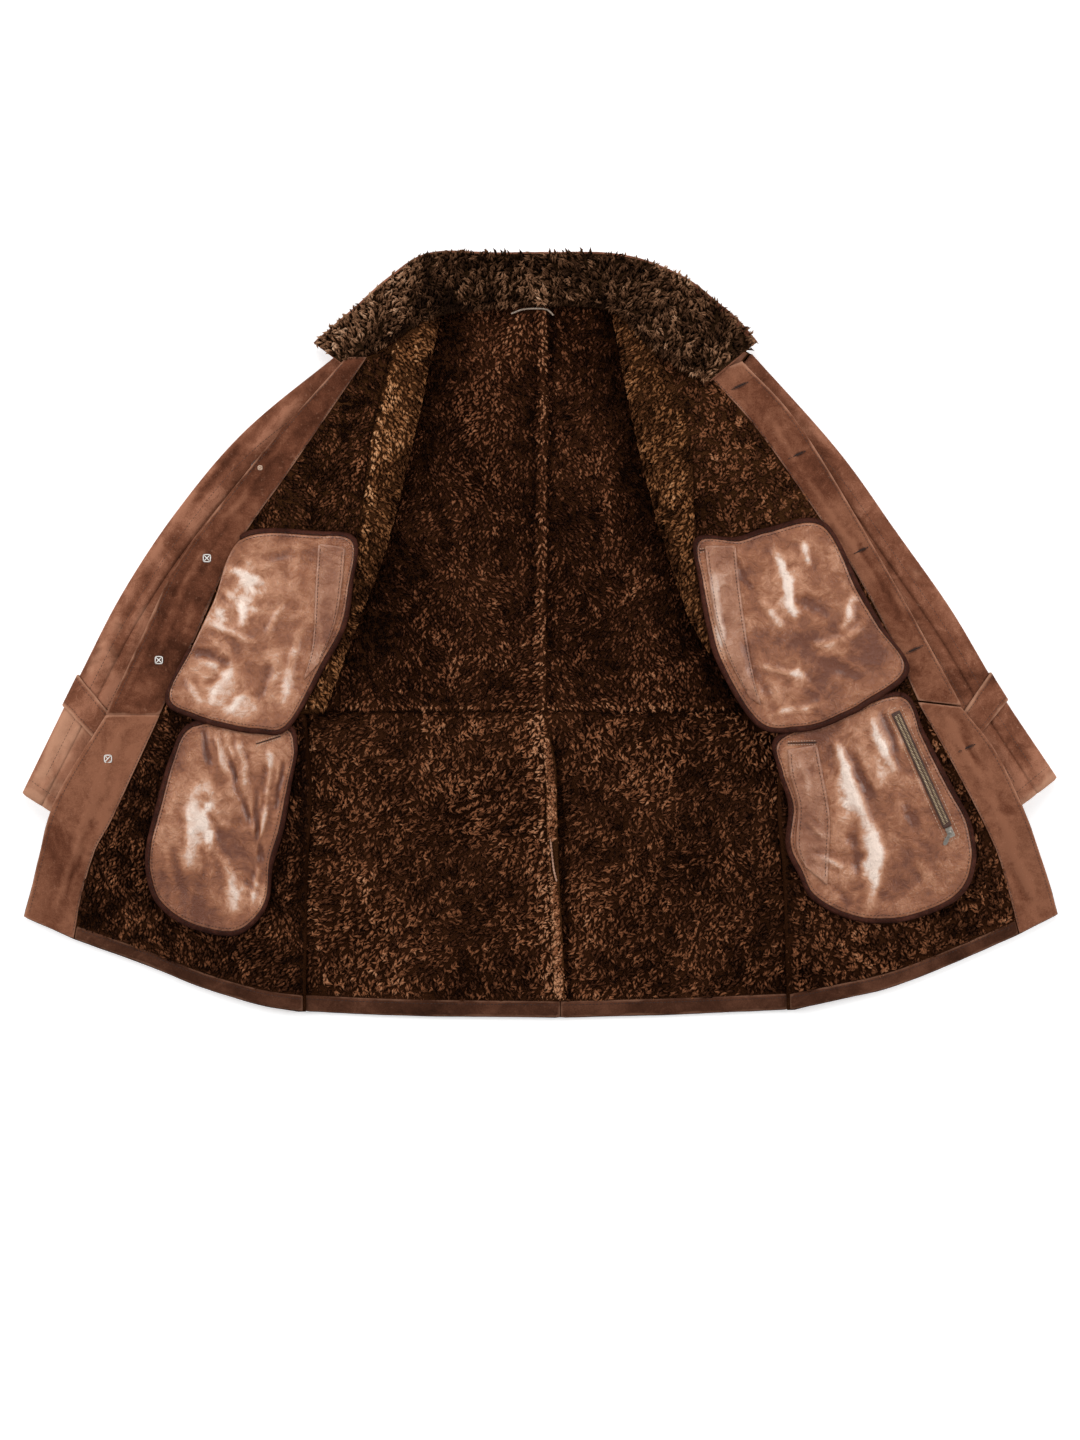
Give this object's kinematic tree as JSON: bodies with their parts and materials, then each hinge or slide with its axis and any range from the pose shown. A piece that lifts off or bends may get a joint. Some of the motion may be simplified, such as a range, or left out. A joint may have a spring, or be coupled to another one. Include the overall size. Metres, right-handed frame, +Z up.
{
  "type": "shearling coat",
  "caption": "Shearling coat lying open on its back, fleece up, with its fronts folded out over the sleeves and leather pocket bags showing.",
  "frame": {"origin": "middle of the coat's outline, on the surface it lies on", "axes": "+X to the coat's left sleeve as seen from above with the collar up the page, that is across the coat; +Y from the hem to the collar; +Z up, out of the fleece"},
  "size_m": [1.2766, 0.944, 0.0525],
  "materials": {
    "fleece": "curly dark brown sheepskin fleece",
    "gold_fleece": "golden brown sheepskin fleece",
    "collar_fleece": "long curly olive brown fleece",
    "suede": "napped brown suede side of sheepskin",
    "leather": "soft glossy tan nappa",
    "binding": "dark maroon bias binding",
    "tape": "woven zip tape and metal teeth",
    "metal": "worn nickelled brass",
    "cord": "thin light cord",
    "button": "dark brown button"
  },
  "bodies": {
    "coat": {"back_skirt_left": "fleece", "back_skirt_right": "fleece", "back_upper_left": "fleece", "back_upper_right": "fleece", "button_1": "button", "button_2": "button", "button_3": "button", "button_4": "button", "button_5": "button", "collar": "collar_fleece", "cuff_strap_left": "suede", "cuff_strap_right": "suede", "facing_lower_left": "suede", "facing_lower_right": "suede", "facing_upper_left": "suede", "facing_upper_right": "suede", "front_skirt_left": "fleece", "front_skirt_right": "fleece", "front_upper_left": "fleece", "front_upper_right": "fleece", "hanger_loop": "cord", "hem_back_left": "suede", "hem_back_right": "suede", "hem_front_left": "suede", "hem_front_right": "suede", "pocket_facing_lower_right": "leather", "pocket_facing_upper_left": "leather", "pocket_facing_upper_right": "leather", "pocket_lower_left": "leather", "pocket_lower_left_binding": "binding", "pocket_lower_right": "leather", "pocket_lower_right_binding": "binding", "pocket_upper_left": "leather", "pocket_upper_left_binding": "binding", "pocket_upper_right": "leather", "pocket_upper_right_binding": "binding", "side_front_left": "gold_fleece", "side_front_right": "gold_fleece", "sleeve_over_left": "suede", "sleeve_over_right": "suede", "sleeve_under_left": "suede", "sleeve_under_right": "suede", "vent_edge": "suede", "zip_slider": "metal", "zip_tape": "tape"},
    "zip_pull": {"zip_pull": "metal"}
  },
  "joints": [
    {"name": "zip_pull_swing", "type": "hinge", "parent": "coat", "child": "zip_pull", "pos_m": [0.50255, -0.2432, 0.05029], "axis": [-0.9074, 0.4202, 0], "range_deg": [0, 150]}
  ]
}
